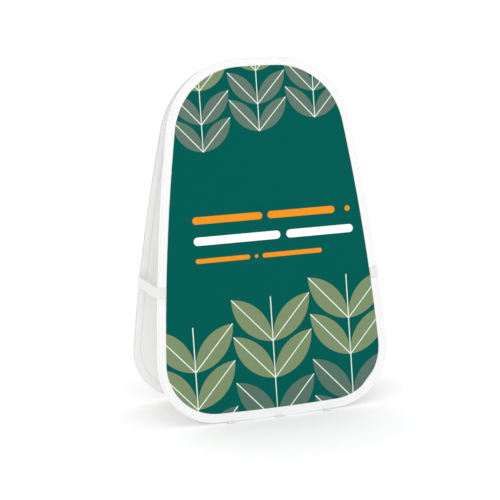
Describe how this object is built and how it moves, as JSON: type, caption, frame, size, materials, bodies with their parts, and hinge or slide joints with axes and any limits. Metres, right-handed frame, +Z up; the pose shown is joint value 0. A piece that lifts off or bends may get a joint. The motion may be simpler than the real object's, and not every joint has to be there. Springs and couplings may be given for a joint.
{
  "type": "pop-up banner",
  "caption": "Free-standing vertical pop-up banner: two leaning fabric panels on spring hoops, hinged along the top edge, held apart by webbing straps, with peg loops at the foot.",
  "frame": {"origin": "on the floor, midway between the two panels and on their middle line", "axes": "+Z up, +X across the panels to the right as seen from the front, -Y out of the front panel"},
  "size_m": [0.7546, 0.336, 1.0897],
  "materials": {
    "print_fabric": "printed polyester, matt",
    "lining_fabric": "white coated polyester, matt",
    "sleeve_fabric": "white woven polyester binding",
    "thread": "white polyester thread",
    "webbing": "white woven webbing",
    "hook_and_loop": "white hook and loop fastener",
    "spring_steel": "bright spring steel strip",
    "ferrule_steel": "zinc plated steel"
  },
  "bodies": {
    "front": {"front_print": "print_fabric", "front_lining": "lining_fabric", "front_sleeve": "sleeve_fabric", "front_sleeve_stitching": "thread", "front_hoop": "spring_steel", "front_hoop_ferrule": "ferrule_steel", "top_hinge_tape": "webbing", "left_hook_pad": "hook_and_loop", "left_loop_pad": "hook_and_loop", "right_hook_pad": "hook_and_loop", "right_loop_pad": "hook_and_loop"},
    "rear": {"rear_print": "print_fabric", "rear_lining": "lining_fabric", "rear_sleeve": "sleeve_fabric", "rear_sleeve_stitching": "thread", "rear_hoop": "spring_steel", "rear_hoop_ferrule": "ferrule_steel", "left_strap": "webbing", "right_strap": "webbing"},
    "front_peg_loop_left": {"front_peg_loop_left": "webbing"},
    "front_peg_loop_middle": {"front_peg_loop_middle": "webbing"},
    "front_peg_loop_right": {"front_peg_loop_right": "webbing"},
    "rear_peg_loop_left": {"rear_peg_loop_left": "webbing"},
    "rear_peg_loop_middle": {"rear_peg_loop_middle": "webbing"},
    "rear_peg_loop_right": {"rear_peg_loop_right": "webbing"}
  },
  "joints": [
    {"name": "top_hinge", "type": "hinge", "parent": "front", "child": "rear", "pos_m": [0, 0, 1.07994], "axis": [-1, 0, 0], "range_deg": [0, 15.6], "deforming": ["top_hinge_tape", "left_strap", "right_strap"]},
    {"name": "front_left_loop_fold", "type": "hinge", "parent": "front", "child": "front_peg_loop_left", "pos_m": [-0.16, -0.15597, 0.003], "axis": [-1, 0, 0], "range_deg": [-90, 94]},
    {"name": "front_middle_loop_fold", "type": "hinge", "parent": "front", "child": "front_peg_loop_middle", "pos_m": [0, -0.15597, 0.003], "axis": [-1, 0, 0], "range_deg": [-90, 94]},
    {"name": "front_right_loop_fold", "type": "hinge", "parent": "front", "child": "front_peg_loop_right", "pos_m": [0.16, -0.15597, 0.003], "axis": [-1, 0, 0], "range_deg": [-90, 94]},
    {"name": "rear_left_loop_fold", "type": "hinge", "parent": "rear", "child": "rear_peg_loop_left", "pos_m": [-0.16, 0.15597, 0.003], "axis": [1, 0, 0], "range_deg": [-90, 94]},
    {"name": "rear_middle_loop_fold", "type": "hinge", "parent": "rear", "child": "rear_peg_loop_middle", "pos_m": [0, 0.15597, 0.003], "axis": [1, 0, 0], "range_deg": [-90, 94]},
    {"name": "rear_right_loop_fold", "type": "hinge", "parent": "rear", "child": "rear_peg_loop_right", "pos_m": [0.16, 0.15597, 0.003], "axis": [1, 0, 0], "range_deg": [-90, 94]}
  ]
}
